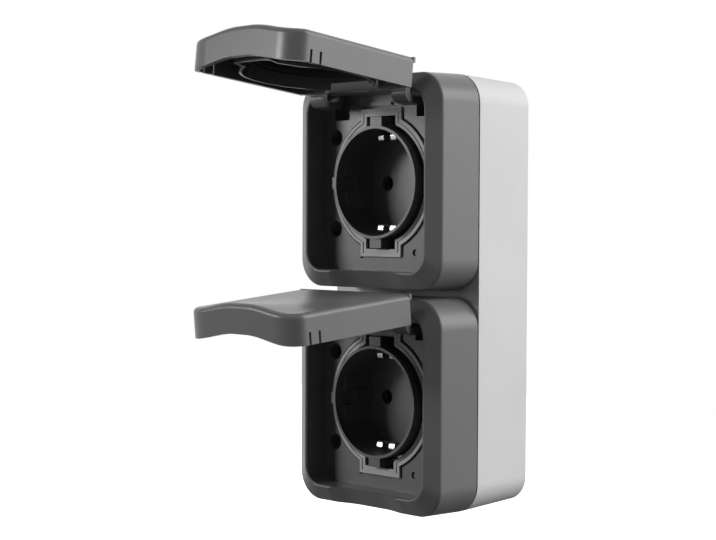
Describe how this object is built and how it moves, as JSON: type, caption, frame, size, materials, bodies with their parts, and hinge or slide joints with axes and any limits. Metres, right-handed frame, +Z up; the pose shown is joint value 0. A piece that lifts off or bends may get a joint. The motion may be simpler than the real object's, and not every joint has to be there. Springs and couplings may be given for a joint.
{
  "type": "outdoor weatherproof twin socket",
  "caption": "Surface-mounted outdoor socket box: framed round wells stacked one above the other, each shut by its own hinged, sealed lid.",
  "frame": {"origin": "centre of the box's back face, on the wall", "axes": "+Z up the wall, -Y out of the wall towards the user, +X to the user's right"},
  "size_m": [0.0728, 0.1122, 0.173],
  "materials": {
    "light_grey_plastic": "fine satin moulding",
    "dark_grey_plastic": "fine satin moulding",
    "well_plastic": "smooth, slight gloss",
    "seal_grey": "soft, matt",
    "black_rubber": "soft, matt",
    "grommet_rubber": "soft, matt",
    "carrier_plastic": "smooth thermoset",
    "brass": "stamped and turned",
    "spring_metal": "nickel-plated spring strip",
    "steel": "zinc-plated"
  },
  "bodies": {
    "housing": {"back_box": "light_grey_plastic", "top_cable_grommet": "grommet_rubber", "bottom_cable_grommet": "grommet_rubber", "upper_frame_gasket": "black_rubber", "upper_frame": "dark_grey_plastic", "upper_frame_screws": "steel", "upper_socket_well": "well_plastic", "upper_well_seal": "seal_grey", "upper_contact_carrier": "carrier_plastic", "upper_earth_strap": "spring_metal", "upper_left_contact": "brass", "upper_right_contact": "brass", "upper_terminal_screws": "steel", "upper_insert_screws": "steel", "upper_hinge_pins": "steel", "lower_frame_gasket": "black_rubber", "lower_frame": "dark_grey_plastic", "lower_frame_screws": "steel", "lower_socket_well": "well_plastic", "lower_well_seal": "seal_grey", "lower_contact_carrier": "carrier_plastic", "lower_earth_strap": "spring_metal", "lower_left_contact": "brass", "lower_right_contact": "brass", "lower_terminal_screws": "steel", "lower_insert_screws": "steel", "lower_hinge_pins": "steel"},
    "upper_cover": {"upper_lid": "dark_grey_plastic", "upper_lid_seal": "black_rubber"},
    "lower_cover": {"lower_lid": "dark_grey_plastic", "lower_lid_seal": "black_rubber"}
  },
  "joints": [
    {"name": "upper_lid_hinge", "type": "hinge", "parent": "housing", "child": "upper_cover", "pos_m": [0, -0.0452, 0.07506], "axis": [1, 0, 0], "range_deg": [0, 96.1]},
    {"name": "lower_lid_hinge", "type": "hinge", "parent": "housing", "child": "lower_cover", "pos_m": [0, -0.0452, -0.00594], "axis": [1, 0, 0], "range_deg": [-11.5, 84.6]}
  ]
}
